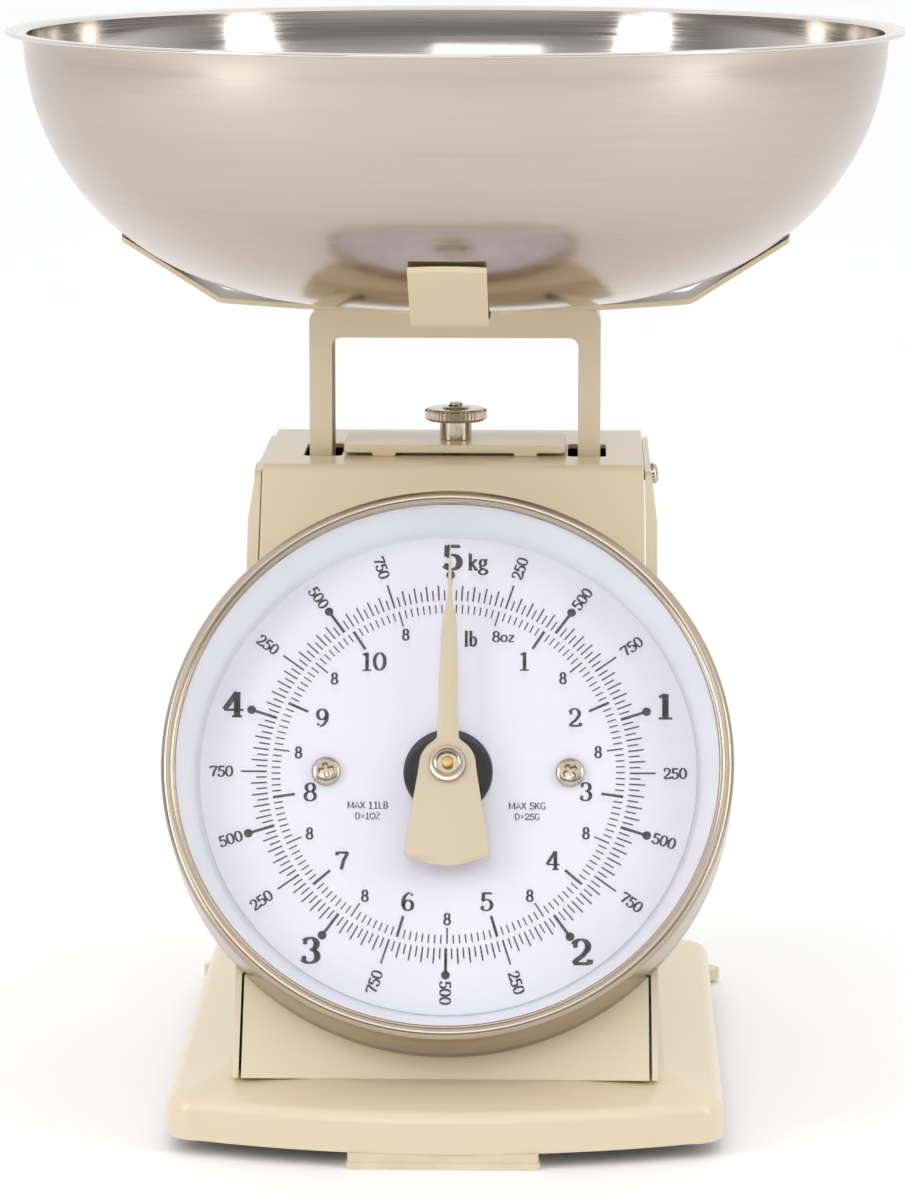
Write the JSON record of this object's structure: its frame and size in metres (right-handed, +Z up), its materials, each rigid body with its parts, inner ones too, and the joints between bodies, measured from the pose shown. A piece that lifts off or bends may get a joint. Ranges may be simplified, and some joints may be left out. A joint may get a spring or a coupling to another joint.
{
  "type": "kitchen scale",
  "caption": "Mechanical kitchen scale: lift-off steel bowl on a cross platform, sloping cream housing with a round pointer dial, rack and pinion inside.",
  "frame": {"origin": "on the table, under the centre of the whole object's box", "axes": "+Z up; -Y is the front, where the dial faces; +X is the viewer's right"},
  "size_m": [0.24, 0.248, 0.2776],
  "materials": {
    "cream_paint": "semi-gloss cream enamel",
    "steel": "brushed",
    "bowl_steel": "brushed outside, bright inside",
    "nickel": "nickel plate",
    "zinc": "zinc plate",
    "spring_steel": "oiled",
    "brass": "turned",
    "white_card": "satin white with dark print",
    "grey_pan": "satin grey",
    "black": "matt black",
    "clear": "clear",
    "foot_plastic": "cream"
  },
  "bodies": {
    "chassis": {"base_skirt": "cream_paint", "bottom_cover": "zinc", "bottom_screws": "zinc", "front_foot": "foot_plastic", "rear_foot": "foot_plastic", "front_cover": "cream_paint", "right_cheek": "cream_paint", "left_cheek": "cream_paint", "cheek_screws": "nickel", "rear_cover": "cream_paint", "rear_screws": "nickel", "right_frame_plate": "zinc", "left_frame_plate": "zinc", "upper_pivot_shaft": "steel", "lower_pivot_shaft": "steel", "adjuster_bridge": "cream_paint", "left_spring": "spring_steel", "right_spring": "spring_steel", "dial_pan": "grey_pan", "dial_card": "white_card", "dial_screws": "nickel", "centre_disc": "black", "bezel": "steel", "lens": "clear", "dial_bearing": "brass", "spindle_bracket": "zinc"},
    "carriage": {"yoke": "cream_paint", "platform": "cream_paint", "platform_rivets": "zinc", "crossbar": "zinc", "lever_pins": "steel", "rack": "brass"},
    "bowl": {"bowl": "bowl_steel"},
    "upper_lever": {"upper_lever": "zinc"},
    "lower_lever": {"lower_lever": "zinc"},
    "pointer": {"pointer_hand": "cream_paint", "pointer_nut": "nickel", "spindle": "brass", "pinion": "brass"},
    "zero_knob": {"zero_knob": "nickel"},
    "adjuster": {"adjuster_screw": "nickel", "spring_hanger": "zinc"}
  },
  "joints": [
    {"name": "platform_drop", "type": "slide", "parent": "chassis", "child": "carriage", "axis": [0, 0, -1], "range_m": [-0.0015, 0.01609], "stiffness_N_per_m": 3049.1, "springref_m": -0.00245, "deforming": ["left_spring", "right_spring"]},
    {"name": "pointer_spin", "type": "hinge", "parent": "chassis", "child": "pointer", "pos_m": [0, -0.06661, 0.08737], "axis": [0, 0.8788, -0.4772], "range_deg": [-36, 361]},
    {"name": "upper_lever_swing", "type": "hinge", "parent": "chassis", "child": "upper_lever", "pos_m": [0, -0.046, 0.106], "axis": [-1, 0, 0], "range_deg": [-1.8, 18.6]},
    {"name": "lower_lever_swing", "type": "hinge", "parent": "chassis", "child": "lower_lever", "pos_m": [0, -0.046, 0.046], "axis": [-1, 0, 0], "range_deg": [-1.8, 18.6]},
    {"name": "zero_knob_turn", "type": "hinge", "parent": "chassis", "child": "zero_knob", "pos_m": [0, 0.004, 0.172], "axis": [0, 0, 1], "range_deg": [-361, 361]},
    {"name": "adjuster_slide", "type": "slide", "parent": "chassis", "child": "adjuster", "axis": [0, 0, -1], "range_m": [-0.0007, 0.0007], "deforming": ["left_spring", "right_spring"]},
    {"name": "bowl_lift", "type": "slide", "parent": "carriage", "child": "bowl", "axis": [0, 0, 1], "range_m": [0, 0.12]}
  ],
  "couplings": [
    {"joint": "pointer_spin", "follows": "platform_drop", "rad_per_m": 390.59},
    {"joint": "upper_lever_swing", "follows": "platform_drop", "rad_per_m": 20},
    {"joint": "lower_lever_swing", "follows": "platform_drop", "rad_per_m": 20},
    {"joint": "zero_knob_turn", "follows": "adjuster_slide", "rad_per_m": 8976}
  ]
}
